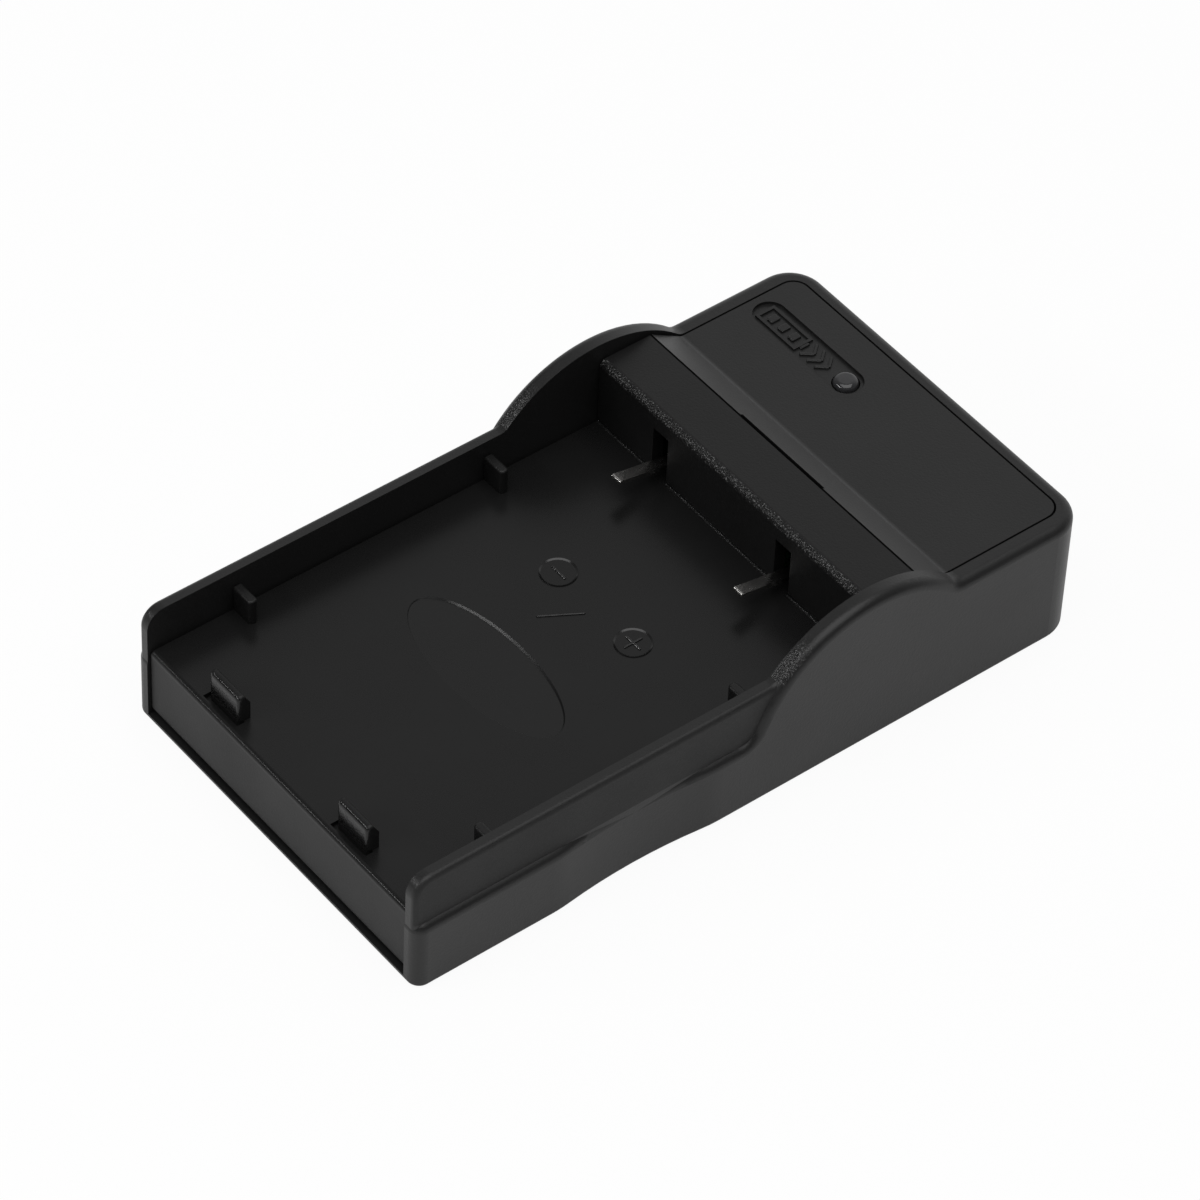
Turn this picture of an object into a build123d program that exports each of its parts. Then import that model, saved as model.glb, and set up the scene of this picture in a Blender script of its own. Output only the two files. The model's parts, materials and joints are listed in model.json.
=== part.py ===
"""Camera battery charger: a single-bay cradle with a USB inlet. All sizes are in millimetres.

+X points right as seen from the open front end, +Y runs from there to the LED end, +Z is up.
The origin lies in the middle of the underside.
"""
import os
from math import atan2, cos, tan

from build123d import *

os.makedirs("parts", exist_ok=True)

# Case: overall sizes
LENGTH = 95.0
WIDTH = 52.6
BASE_THICK = 1.6
LIP_THICK = 0.8
SKIRT_TOP = 9.9
WALL_TOP = 16.5
BLOCK_TOP = 17.6
BLOCK_DEPTH = 31.5
ARCH_TOP = 22.7
ARCH_RADIUS = 17.3
ARCH_SETBACK = 31.6
# Case: walls and roundings
WALL_INSET = 0.7
WALL_SETBACK = 0.1
WALL_NOSE_RADIUS = 2.5
WALL_EDGE_RADIUS = 0.7
WALL_BLEND_RADIUS = 2.0
WALL_BLEND_SINK = 0.15
SIDE_THICK = 2.3
REAR_THICK = 1.9
REAR_CORNER_RADIUS = 4.5
FRONT_CORNER_RADIUS = 1.6
CAVITY_CORNER_RADIUS = 2.2
EDGE_RADIUS = 1.2
UNDER_EDGE_RADIUS = 0.6
ARCH_FOOT_RADIUS = 2.5
VALLEY_RADIUS = 2.0
# Case: finger scoops in the skirt, ahead of the arches
SCOOP_LENGTH = 21.0
SCOOP_AHEAD = 15.6
SCOOP_BLEND_RADIUS = 20.0
# Case: ledge under the rear cover
LEDGE_WIDTH = 1.0
LEDGE_THICK = 1.6
LEDGE_START = 0.9
# Moulded sheet thickness of plate and cover, the open seam round both, and a close fit
SHEET = 1.6
SEAM = 0.25
FIT = 0.15

# Battery plate
FLOOR_TOP = 10.9
FRONT_WALL_GAP = 0.4
SHELF_TOP = 20.45
SHELF_DEPTH = 7.3
SHELF_FLANGE = 3.4
NOSE_RADIUS = 1.0
FRONT_EDGE_RADIUS = 0.6
FRONT_FOOT_RADIUS = 1.2
FLOOR_BLEND_RADIUS = 0.2
SLOT_SIDE_GAP = 0.6
SLOT_HEIGHT = 6.8
# Battery plate: stop tabs at the front
TAB_X = 11.9
TAB_SETBACK = 1.5
TAB_WIDTH = 5.6
TAB_THICK = 1.6
TAB_HEIGHT = 3.8
TAB_LEAD = 1.3
TAB_TOP_RADIUS = 0.6
TAB_SIDE_RADIUS = 0.5
POCKET_WIDTH = 0.7
POCKET_MARGIN = 0.2
POCKET_DEPTH = 0.6
# Battery plate: guide ribs along the side walls
RIB_FRONT_SETBACK = 11.9
RIB_REAR_AHEAD = 15.9
RIB_REACH = 3.2
RIB_THICK = 1.2
RIB_HEIGHT = 3.5
RIB_TIP_RADIUS = 0.5
RIB_TOP_RADIUS = 0.3
# Battery plate: thumb scoop in the floor
THUMB_SETBACK = 28.8
THUMB_HALF_LENGTH = 12.9
THUMB_HALF_WIDTH = 5.1
THUMB_DEPTH = 0.25

# Rear cover
RAMP_RUN = 4.55
RAMP_BLEND_RADIUS = 1.2
COVER_CORNER_RADIUS = 2.0
LEGEND_MARGIN = 0.95
LEGEND_SETBACK = 6.7
LEGEND_LENGTH = 18.2
LEGEND_WIDTH = 4.2
LEGEND_DEPTH = 0.4
PRY_LENGTH = 14.8
PRY_WIDTH = 0.35
HOOK_SETBACK = 8.6
HOOK_WIDTH = 5.0
HOOK_DROP = 3.6
HOOK_THICK = 1.2
HOOK_BARB = 0.6

# LED and its light pipe
LENS_END_GAP = 2.2
LENS_RADIUS = 1.55
LENS_DOME = 0.7
LENS_PROUD = 0.75
LENS_FLANGE_MARGIN = 0.7
LENS_FLANGE_THICK = 0.8
STEM_RADIUS = 1.2
LED_LENGTH = 3.5
LED_WIDTH = 2.8
LED_HEIGHT = 1.9
LED_CUP_MARGIN = 0.2
LED_CUP_DEPTH = 0.3
LED_GAP = 0.3

# Circuit board and the posts under it
BOARD_SIDE_GAP = 4.0
BOARD_OVERHANG = 2.0
BOARD_REAR_GAP = 1.4
BOARD_THICK = 1.2
BOARD_CORNER_RADIUS = 1.0
POST_HEIGHT = 3.0
POST_WALL = 1.2
POST_FRONT_INSET = 4.0
POST_FRONT_SETBACK = 8.0
POST_REAR_INSET = 6.0
POST_REAR_AHEAD = 3.7

# Battery contacts
CONTACT_XS = (-12.3, 9.9)
BLADE_REACH = 6.4
BLADE_TIP_RISE = 3.5
BLADE_ROOT_RISE = 1.7
BLADE_WIDTH = 1.5
BLADE_THICK = 0.5
BLADE_BEND = 0.4
BLADE_TIP_RADIUS = 0.2
LEG_GAP = 0.7
LEG_BELOW_BOARD = 0.8
LEG_HOLE_SLACK = 0.2

# Screws and what takes them
SCREW_SIDE_GAP = 7.0
SCREW_FRONT_SETBACK = 11.1
SCREW_REAR_AHEAD = 9.0
SCREW_HEAD_RADIUS = 2.0
SCREW_HEAD_HEIGHT = 1.3
SCREW_RADIUS = 1.1
SCREW_GRIP = 6.0
SCREW_POINT = 1.0
SCREW_EDGE = 0.4
CROSS_WIDTH = 0.6
CROSS_LENGTH = 2.2
CROSS_DEPTH = 0.8
HEAD_SUNK = 0.7
SINK_SLACK = 0.5
PAD_WALL = 1.1
PAD_WEB = 1.4
BOSS_WALL = 1.6
PILOT_SPARE = 1.0
BOARD_SCREW_GRIP = 3.0
PILOT_SLACK = 0.05
CLEARANCE_SLACK = 0.2

# Micro-USB inlet
USB_WIDTH = 7.5
USB_HEIGHT = 2.5
USB_CHAMFER = 0.9
USB_METAL = 0.25
USB_LENGTH = 5.0
USB_MOUTH_GAP = 0.15
USB_BACK = 1.4
TONGUE_WIDTH = 3.7
TONGUE_THICK = 0.6
TONGUE_LIFT = 0.95
TONGUE_SHORT = 1.0
PIN_COUNT = 5
PIN_PITCH = 0.65
PIN_WIDTH = 0.35
PIN_THICK = 0.15
OPENING_GAP = 0.35
OPENING_RADIUS = 1.0
RECESS_SIDE = 1.8
RECESS_RISE = 2.3
RECESS_RADIUS = 2.0
RECESS_DEPTH = 1.0

# Components: places on the board, counted from its middle and its front edge
CHIP_SPOT = (7.5, 14.0)
CHIP_WIDTH = 3.9
CHIP_LENGTH = 4.9
CHIP_HEIGHT = 1.45
CHIP_LIFT = 0.15
LEAD_COUNT = 4
LEAD_PITCH = 1.27
LEAD_WIDTH = 0.42
LEAD_THICK = 0.2
LEAD_REACH = 1.05
LEAD_KNEE = 0.45
LEAD_RISE = 0.85
COIL_SPOT = (-8.0, 14.5)
COIL_SIZE = 6.6
COIL_HEIGHT = 3.0
COIL_CORNER_RADIUS = 1.6
COIL_DISH_RADIUS = 2.3
COIL_DISH_DEPTH = 0.3
DIODE_SPOT = (0.0, 10.0)
DIODE_LENGTH = 4.3
DIODE_WIDTH = 2.6
DIODE_HEIGHT = 2.1
DIODE_CHAMFER = 0.35
CAN_SPOT = (9.5, 22.0)
CAN_RADIUS = 2.5
CAN_HEIGHT = 5.0
CAN_EDGE = 0.4
SEAT_MARGIN = 0.15
SEAT_HEIGHT = 0.6
SEAT_CHAMFER = 1.0
CERAMIC_SPOTS = ((-1.5, 16.5), (1.5, 16.5), (-1.5, 20.0), (1.5, 20.0), (13.5, 14.0))
CERAMIC_LENGTH = 2.0
CERAMIC_WIDTH = 1.25
CERAMIC_HEIGHT = 0.85
RESISTOR_SPOTS = ((4.0, 9.5), (6.5, 9.5), (9.0, 9.5), (-13.5, 17.0), (-13.5, 19.0), (-13.5, 21.0))
RESISTOR_LENGTH = 1.6
RESISTOR_WIDTH = 0.8
RESISTOR_HEIGHT = 0.45

# Values that follow from the ones above: case
FRONT = -LENGTH / 2
REAR = LENGTH / 2
HALF_WIDTH = WIDTH / 2
WALL_HALF = HALF_WIDTH - WALL_INSET
WALL_ROOT = SKIRT_TOP / 2
WALL_FRONT = FRONT + WALL_SETBACK
CAVITY_HALF = HALF_WIDTH - SIDE_THICK
CAVITY_REAR = REAR - REAR_THICK
ARCH_Y = REAR - ARCH_SETBACK
ARCH_Z = ARCH_TOP - ARCH_RADIUS
SCOOP_Y = ARCH_Y - ARCH_RADIUS - SCOOP_AHEAD
SCOOP_RADIUS = (SCOOP_LENGTH**2 / 4 + WALL_INSET**2) / (2 * WALL_INSET)
SCOOP_AXIS_X = WALL_HALF + SCOOP_RADIUS
LEDGE_TOP = BLOCK_TOP - SHEET
# Values that follow: battery plate and rear cover
INSERT_HALF = CAVITY_HALF - SEAM
FRONT_WALL_Y = FRONT + FRONT_WALL_GAP
CONTACT_WALL_Y = REAR - BLOCK_DEPTH
FLOOR_UNDER = FLOOR_TOP - SHEET
SHELF_END = CONTACT_WALL_Y + SHELF_DEPTH
SLOT_WIDTH = BLADE_WIDTH + 2 * SLOT_SIDE_GAP
TAB_Y = FRONT_WALL_Y + TAB_SETBACK
RIB_YS = (FRONT_WALL_Y + RIB_FRONT_SETBACK, CONTACT_WALL_Y - RIB_REAR_AHEAD)
RIB_TIP_X = INSERT_HALF - RIB_REACH
RIB_TOP = FLOOR_TOP + RIB_HEIGHT
THUMB_Y = FRONT_WALL_Y + THUMB_SETBACK
COVER_FRONT = SHELF_END + SEAM
COVER_REAR = CAVITY_REAR - SEAM
RAMP_FOOT_Y = COVER_FRONT + RAMP_RUN
RAMP_ANGLE = atan2(SHELF_TOP - BLOCK_TOP, RAMP_RUN)
LEDGE_FRONT = RAMP_FOOT_Y + LEDGE_START
LEGEND_X = LEGEND_MARGIN + LEGEND_LENGTH / 2 - INSERT_HALF
LEGEND_Y = CAVITY_REAR - LEGEND_SETBACK
HOOK_Y = CAVITY_REAR - HOOK_SETBACK
HOOK_X = CAVITY_HALF - LEDGE_WIDTH - FIT
# Values that follow: board, lamp, contacts and inlet
BOARD_HALF = CAVITY_HALF - BOARD_SIDE_GAP
BOARD_FRONT = CONTACT_WALL_Y - BOARD_OVERHANG
BOARD_REAR = CAVITY_REAR - BOARD_REAR_GAP
BOARD_UNDER = BASE_THICK + POST_HEIGHT
BOARD_TOP = BOARD_UNDER + BOARD_THICK
POST_RADIUS = SCREW_RADIUS + POST_WALL
POST_FRONT_X = BOARD_HALF - POST_FRONT_INSET
POST_REAR_X = BOARD_HALF - POST_REAR_INSET
POST_FRONT_Y = BOARD_FRONT + POST_FRONT_SETBACK
POST_REAR_Y = BOARD_REAR - POST_REAR_AHEAD
FRONT_POST_SPOTS = [(-POST_FRONT_X, POST_FRONT_Y), (POST_FRONT_X, POST_FRONT_Y)]
REAR_POST_SPOTS = [(-POST_REAR_X, POST_REAR_Y), (POST_REAR_X, POST_REAR_Y)]
LENS_X = LEGEND_X + LEGEND_LENGTH / 2 - LENS_END_GAP
LENS_TOP = BLOCK_TOP - LEGEND_DEPTH + LENS_PROUD
LENS_FLANGE_RADIUS = LENS_RADIUS + LENS_FLANGE_MARGIN
LED_TOP = BOARD_TOP + LED_HEIGHT
LED_CUP_RADIUS = LED_WIDTH / 2 - LED_CUP_MARGIN
BLADE_TIP_Y = CONTACT_WALL_Y - BLADE_REACH
BLADE_TIP_TOP = FLOOR_TOP + BLADE_TIP_RISE
BLADE_ROOT_TOP = FLOOR_TOP + BLADE_ROOT_RISE
LEG_Y = CONTACT_WALL_Y + SHEET + LEG_GAP
USB_Z = BOARD_TOP + USB_HEIGHT / 2
USB_MOUTH = CAVITY_REAR - USB_MOUTH_GAP
USB_TAIL_Y = USB_MOUTH - USB_LENGTH
OPENING_WIDTH = USB_WIDTH + 2 * OPENING_GAP
OPENING_HEIGHT = USB_HEIGHT + 2 * OPENING_GAP
RECESS_WIDTH = OPENING_WIDTH + 2 * RECESS_SIDE
RECESS_HEIGHT = OPENING_HEIGHT + 2 * RECESS_RISE
# Values that follow: screws from below
SCREW_X = CAVITY_HALF - SCREW_SIDE_GAP
SCREW_YS = (FRONT_WALL_Y + SCREW_FRONT_SETBACK, CONTACT_WALL_Y - SCREW_REAR_AHEAD)
BASE_SCREW_SPOTS = [(x, y) for x in (-SCREW_X, SCREW_X) for y in SCREW_YS]
SINK_RADIUS = SCREW_HEAD_RADIUS + SINK_SLACK
SINK_DEPTH = SCREW_HEAD_HEIGHT + HEAD_SUNK
PAD_RADIUS = SINK_RADIUS + PAD_WALL
PAD_THICK = SINK_DEPTH + PAD_WEB
BOSS_RADIUS = SCREW_RADIUS + BOSS_WALL
PILOT_DEPTH = SCREW_GRIP - PAD_WEB + PILOT_SPARE


def corner(sketch, u, v):
    """The corner of a sketch that lies nearest to (u, v) in the sketch plane."""
    return sketch.vertices().sort_by_distance((u, v, 0))[0]


def on_board(spot):
    """A place counted from the board's middle and front edge, as a place in the part's frame."""
    return spot[0], BOARD_FRONT + spot[1]


# Low side walls of the tray, drawn in side view; the case takes them in below
with BuildPart() as side_walls:
    with BuildSketch(Plane.YZ) as wall_view:
        with Locations(((WALL_FRONT + ARCH_Y) / 2, WALL_TOP / 2)):
            Rectangle(ARCH_Y - WALL_FRONT, WALL_TOP)
        with Locations((ARCH_Y, ARCH_Z)):
            Circle(ARCH_RADIUS - WALL_BLEND_SINK)
        with Locations((0, WALL_ROOT - ARCH_RADIUS)):
            Rectangle(2 * LENGTH, 2 * ARCH_RADIUS, mode=Mode.SUBTRACT)
        fillet(corner(wall_view, FRONT, WALL_TOP), WALL_NOSE_RADIUS)
        fillet(corner(wall_view, ARCH_Y - ARCH_RADIUS, WALL_TOP), WALL_BLEND_RADIUS)
    extrude(amount=WALL_HALF, both=True)
    wall_faces = side_walls.faces().filter_by(Axis.X)
    wall_rim = wall_faces.edges().filter_by_position(Axis.Z, WALL_ROOT, ARCH_TOP, (False, True))
    fillet(wall_rim, WALL_EDGE_RADIUS)

# Case: plan view and side view meet in one body, whose upper edge is rounded all the way round
with BuildPart() as case:
    with BuildSketch() as plan_view:
        Rectangle(WIDTH, LENGTH)
        with Locations((-SCOOP_AXIS_X, SCOOP_Y), (SCOOP_AXIS_X, SCOOP_Y)):
            Circle(SCOOP_RADIUS, mode=Mode.SUBTRACT)
        fillet(plan_view.vertices().group_by(Axis.Y)[-1], REAR_CORNER_RADIUS)
        fillet(plan_view.vertices().group_by(Axis.Y)[0], FRONT_CORNER_RADIUS)
        scoop_reach = SCOOP_LENGTH / 2 + FIT
        scoop_zone = (SCOOP_Y - scoop_reach, SCOOP_Y + scoop_reach)
        scoop_ends = plan_view.vertices().filter_by_position(Axis.Y, *scoop_zone)
        fillet(scoop_ends, SCOOP_BLEND_RADIUS)
    extrude(amount=ARCH_TOP)
    with BuildSketch(Plane.YZ) as side_view:
        with Locations((0, SKIRT_TOP / 2)):
            Rectangle(LENGTH, SKIRT_TOP)
        with Locations(((ARCH_Y + REAR) / 2, BLOCK_TOP / 2)):
            Rectangle(REAR - ARCH_Y, BLOCK_TOP)
        with Locations((ARCH_Y, ARCH_Z)):
            Circle(ARCH_RADIUS)
        with Locations((0, -ARCH_RADIUS)):
            Rectangle(2 * LENGTH, 2 * ARCH_RADIUS, mode=Mode.SUBTRACT)
        fillet(corner(side_view, ARCH_Y - ARCH_RADIUS, SKIRT_TOP), ARCH_FOOT_RADIUS)
        fillet(corner(side_view, ARCH_Y + ARCH_RADIUS, BLOCK_TOP), VALLEY_RADIUS)
    extrude(amount=WIDTH, both=True, mode=Mode.INTERSECT)
    raised = case.edges().filter_by(Axis.Z, reverse=True).filter_by_position(Axis.Z, BASE_THICK, ARCH_TOP)
    left_rim = raised.filter_by_position(Axis.X, -WIDTH, -CAVITY_HALF)
    right_rim = raised.filter_by_position(Axis.X, CAVITY_HALF, WIDTH)
    end_rims = raised.group_by(Axis.Y)[0] + raised.group_by(Axis.Y)[-1]
    fillet(left_rim + right_rim + end_rims, EDGE_RADIUS)
    fillet(case.edges().group_by(Axis.Z)[0], UNDER_EDGE_RADIUS)
    add(side_walls.part)
    with BuildSketch(Plane.XY.offset(BASE_THICK)) as cavity:
        with Locations((0, CAVITY_REAR - LENGTH)):
            Rectangle(2 * CAVITY_HALF, 2 * LENGTH)
        fillet(cavity.vertices().group_by(Axis.Y)[-1], CAVITY_CORNER_RADIUS)
    extrude(amount=ARCH_TOP, mode=Mode.SUBTRACT)
    with BuildSketch(Plane.XY.offset(LIP_THICK)) as lip_step:
        with Locations((0, FRONT)):
            Rectangle(2 * CAVITY_HALF, 2 * (FRONT_WALL_Y + SHEET + SEAM - FRONT))
    extrude(amount=BASE_THICK, mode=Mode.SUBTRACT)
    with BuildSketch(Plane.XY.offset(LEDGE_TOP)) as ledge:
        with Locations((0, (LEDGE_FRONT + CAVITY_REAR) / 2)):
            Rectangle(2 * CAVITY_HALF, CAVITY_REAR - LEDGE_FRONT)
        fillet(ledge.vertices().group_by(Axis.Y)[-1], CAVITY_CORNER_RADIUS)
        ledge_hole = (2 * (CAVITY_HALF - LEDGE_WIDTH), 2 * (CAVITY_REAR - LEDGE_WIDTH - LEDGE_FRONT))
        with Locations((0, LEDGE_FRONT)):
            Rectangle(*ledge_hole, mode=Mode.SUBTRACT)
    extrude(amount=-LEDGE_THICK)
    with BuildSketch() as screw_pads:
        with Locations(*BASE_SCREW_SPOTS):
            Circle(PAD_RADIUS)
    extrude(amount=PAD_THICK)
    with BuildSketch() as screw_sinks:
        with Locations(*BASE_SCREW_SPOTS):
            Circle(SINK_RADIUS)
    extrude(amount=SINK_DEPTH, mode=Mode.SUBTRACT)
    with BuildSketch() as screw_holes:
        with Locations(*BASE_SCREW_SPOTS):
            Circle(SCREW_RADIUS + CLEARANCE_SLACK)
    extrude(amount=PAD_THICK, mode=Mode.SUBTRACT)
    with BuildSketch(Plane.XY.offset(BASE_THICK)) as board_posts:
        with Locations(*REAR_POST_SPOTS, *FRONT_POST_SPOTS):
            Circle(POST_RADIUS)
    extrude(amount=BOARD_UNDER - BASE_THICK)
    with BuildSketch(Plane.XY.offset(BASE_THICK)) as post_holes:
        with Locations(*FRONT_POST_SPOTS):
            Circle(SCREW_RADIUS + PILOT_SLACK)
    extrude(amount=BOARD_UNDER - BASE_THICK, mode=Mode.SUBTRACT)
    with BuildSketch(Plane.XZ.offset(-REAR)) as plug_recess:
        with Locations((0, USB_Z)):
            RectangleRounded(RECESS_WIDTH, RECESS_HEIGHT, RECESS_RADIUS)
    extrude(amount=RECESS_DEPTH, mode=Mode.SUBTRACT)
    with BuildSketch(Plane.XZ.offset(-REAR)) as inlet_opening:
        with Locations((0, USB_Z)):
            RectangleRounded(OPENING_WIDTH, OPENING_HEIGHT, OPENING_RADIUS)
    extrude(amount=REAR_THICK, mode=Mode.SUBTRACT)
case.part.label = "case"
export_step(case.part, "parts/case.step")

# Cutter for the thumb scoop: a flared oval, kept only above a floor that sinks toward the rear
with BuildPart() as thumb_cutter:
    for flare in (-THUMB_DEPTH, THUMB_DEPTH):
        with BuildSketch(Plane.XY.offset(FLOOR_TOP + flare)) as thumb_oval:
            with Locations((0, THUMB_Y)):
                Ellipse(THUMB_HALF_LENGTH + flare, THUMB_HALF_WIDTH + flare)
    loft()
    with BuildSketch(Plane.YZ) as thumb_slope:
        with BuildLine():
            Polyline(
                (THUMB_Y - THUMB_HALF_WIDTH, FLOOR_TOP),
                (THUMB_Y + THUMB_HALF_WIDTH, FLOOR_TOP - THUMB_DEPTH),
                (THUMB_Y + THUMB_HALF_WIDTH, FLOOR_TOP + THUMB_DEPTH),
                (THUMB_Y - THUMB_HALF_WIDTH, FLOOR_TOP + THUMB_DEPTH),
                close=True,
            )
        make_face()
    extrude(amount=WIDTH, both=True, mode=Mode.INTERSECT)

# Battery plate: one bent sheet section runs front wall, tray floor, contact wall, shelf and flange
with BuildPart() as battery_plate:
    with BuildSketch(Plane.YZ) as plate_view:
        with BuildLine():
            Polyline(
                (FRONT_WALL_Y, LIP_THICK + FIT),
                (FRONT_WALL_Y, FLOOR_TOP),
                (CONTACT_WALL_Y, FLOOR_TOP),
                (CONTACT_WALL_Y, SHELF_TOP),
                (SHELF_END, SHELF_TOP),
                (SHELF_END, SHELF_TOP - SHELF_FLANGE),
                (SHELF_END - SHEET, SHELF_TOP - SHELF_FLANGE),
                (SHELF_END - SHEET, SHELF_TOP - SHEET),
                (CONTACT_WALL_Y + SHEET, SHELF_TOP - SHEET),
                (CONTACT_WALL_Y + SHEET, FLOOR_UNDER),
                (FRONT_WALL_Y + SHEET, FLOOR_UNDER),
                (FRONT_WALL_Y + SHEET, LIP_THICK + FIT),
                close=True,
            )
        make_face()
        fillet(corner(plate_view, FRONT_WALL_Y, LIP_THICK), FRONT_FOOT_RADIUS)
        fillet(corner(plate_view, FRONT_WALL_Y, FLOOR_TOP), FRONT_EDGE_RADIUS)
        fillet(corner(plate_view, CONTACT_WALL_Y, FLOOR_TOP), FLOOR_BLEND_RADIUS)
        fillet(corner(plate_view, CONTACT_WALL_Y, SHELF_TOP), NOSE_RADIUS)
    extrude(amount=INSERT_HALF, both=True)
    with BuildSketch(Plane.XZ.offset(-CONTACT_WALL_Y - SHEET)) as contact_slots:
        with Locations(*[(x, FLOOR_TOP + SLOT_HEIGHT / 2) for x in CONTACT_XS]):
            Rectangle(SLOT_WIDTH, SLOT_HEIGHT)
    extrude(amount=SHEET + FLOOR_BLEND_RADIUS, mode=Mode.SUBTRACT)
    add(thumb_cutter.part, mode=Mode.SUBTRACT)
    with BuildSketch(Plane.XY.offset(FLOOR_TOP)) as tab_pockets:
        with Locations((-TAB_X, TAB_Y), (TAB_X, TAB_Y)):
            Rectangle(TAB_WIDTH + 2 * POCKET_MARGIN, 2 * POCKET_WIDTH)
    extrude(amount=-POCKET_DEPTH, mode=Mode.SUBTRACT)
    with BuildSketch(Plane.YZ.offset(-TAB_X), Plane.YZ.offset(TAB_X)) as tab_view:
        with BuildLine():
            Polyline(
                (TAB_Y, FLOOR_TOP - POCKET_DEPTH),
                (TAB_Y, FLOOR_TOP + TAB_HEIGHT),
                (TAB_Y + TAB_THICK / 2, FLOOR_TOP + TAB_HEIGHT),
                (TAB_Y + TAB_THICK, FLOOR_TOP + TAB_HEIGHT - TAB_LEAD),
                (TAB_Y + TAB_THICK, FLOOR_TOP - POCKET_DEPTH),
                close=True,
            )
        make_face()
        fillet(corner(tab_view, TAB_Y, FLOOR_TOP + TAB_HEIGHT), TAB_TOP_RADIUS)
    extrude(amount=TAB_WIDTH / 2, both=True)
    tab_edges = battery_plate.edges().filter_by(Axis.Z).filter_by_position(Axis.Y, TAB_Y, TAB_Y)
    fillet(tab_edges, TAB_SIDE_RADIUS)
    with BuildSketch(Plane.XY.offset(FLOOR_TOP)) as rib_plan:
        for side in (-1, 1):
            with Locations(*[(side * (RIB_TIP_X + INSERT_HALF) / 2, y) for y in RIB_YS]):
                Rectangle(INSERT_HALF - RIB_TIP_X, RIB_THICK)
        rib_tips = rib_plan.vertices().filter_by_position(Axis.X, -RIB_TIP_X, RIB_TIP_X)
        fillet(rib_tips, RIB_TIP_RADIUS)
    extrude(amount=RIB_HEIGHT)
    rib_edges = battery_plate.edges().filter_by_position(Axis.Z, RIB_TOP, RIB_TOP)
    fillet(rib_edges.filter_by_position(Axis.X, -INSERT_HALF, INSERT_HALF, (False, False)), RIB_TOP_RADIUS)
    with BuildSketch(Plane.XY.offset(PAD_THICK)) as bosses:
        with Locations(*BASE_SCREW_SPOTS):
            Circle(BOSS_RADIUS)
    extrude(amount=FLOOR_UNDER - PAD_THICK)
    with BuildSketch(Plane.XY.offset(PAD_THICK)) as pilots:
        with Locations(*BASE_SCREW_SPOTS):
            Circle(SCREW_RADIUS + PILOT_SLACK)
    extrude(amount=PILOT_DEPTH, mode=Mode.SUBTRACT)
battery_plate.part.label = "battery_plate"
export_step(battery_plate.part, "parts/battery_plate.step")

# Rear cover: a sheet section with a ramp, carrying the legend recess, the lens hole and two hooks
with BuildPart() as rear_cover:
    with BuildSketch(Plane.YZ) as cover_view:
        with BuildLine():
            Polyline(
                (COVER_FRONT, SHELF_TOP),
                (RAMP_FOOT_Y, BLOCK_TOP),
                (COVER_REAR, BLOCK_TOP),
                (COVER_REAR, LEDGE_TOP),
                (RAMP_FOOT_Y - SHEET * tan(RAMP_ANGLE / 2), LEDGE_TOP),
                (COVER_FRONT, SHELF_TOP - SHEET / cos(RAMP_ANGLE)),
                close=True,
            )
        make_face()
        fillet(corner(cover_view, RAMP_FOOT_Y, BLOCK_TOP), RAMP_BLEND_RADIUS)
    extrude(amount=INSERT_HALF, both=True)
    cover_corners = rear_cover.edges().filter_by(Axis.Z).group_by(Axis.Y)[-1]
    fillet(cover_corners, COVER_CORNER_RADIUS)
    with BuildSketch(Plane.XY.offset(SHELF_TOP)) as pry_slot:
        with Locations((0, COVER_FRONT)):
            Rectangle(PRY_LENGTH, 2 * PRY_WIDTH)
    extrude(amount=-SHELF_TOP, mode=Mode.SUBTRACT)
    with BuildSketch(Plane.XY.offset(BLOCK_TOP)) as legend:
        with Locations((LEGEND_X, LEGEND_Y)):
            SlotOverall(LEGEND_LENGTH, LEGEND_WIDTH)
    extrude(amount=-LEGEND_DEPTH, mode=Mode.SUBTRACT)
    with BuildSketch(Plane.XY.offset(BLOCK_TOP)) as lens_hole:
        with Locations((LENS_X, LEGEND_Y)):
            Circle(LENS_RADIUS + FIT)
    extrude(amount=-2 * SHEET, mode=Mode.SUBTRACT)
    with BuildSketch(Plane.XZ.offset(-HOOK_Y)) as hook_view:
        with BuildLine():
            Polyline(
                (HOOK_X, LEDGE_TOP),
                (HOOK_X, LEDGE_TOP - LEDGE_THICK - FIT),
                (HOOK_X + HOOK_BARB, LEDGE_TOP - LEDGE_THICK - FIT),
                (HOOK_X, LEDGE_TOP - HOOK_DROP),
                (HOOK_X - HOOK_THICK, LEDGE_TOP - HOOK_DROP),
                (HOOK_X - HOOK_THICK, LEDGE_TOP),
                close=True,
            )
        make_face()
        mirror(about=Plane.YZ)
    extrude(amount=HOOK_WIDTH / 2, both=True)
rear_cover.part.label = "rear_cover"
export_step(rear_cover.part, "parts/rear_cover.step")

# Light pipe: domed window in the legend recess, flange under the cover, stem down to the lamp
with BuildPart() as led_lens:
    with BuildSketch(Plane.XY.offset(LEDGE_TOP)) as window:
        with Locations((LENS_X, LEGEND_Y)):
            Circle(LENS_RADIUS)
    extrude(amount=LENS_TOP - LEDGE_TOP)
    fillet(led_lens.edges().group_by(Axis.Z)[-1], LENS_DOME)
    with BuildSketch(Plane.XY.offset(LEDGE_TOP)) as flange:
        with Locations((LENS_X, LEGEND_Y)):
            Circle(LENS_FLANGE_RADIUS)
    extrude(amount=-LENS_FLANGE_THICK)
    with BuildSketch(Plane.XY.offset(LED_TOP + LED_GAP)) as stem:
        with Locations((LENS_X, LEGEND_Y)):
            Circle(STEM_RADIUS)
    extrude(amount=LEDGE_TOP - LED_TOP - LED_GAP)
led_lens.part.label = "led_lens"
export_step(led_lens.part, "parts/led_lens.step")

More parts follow.
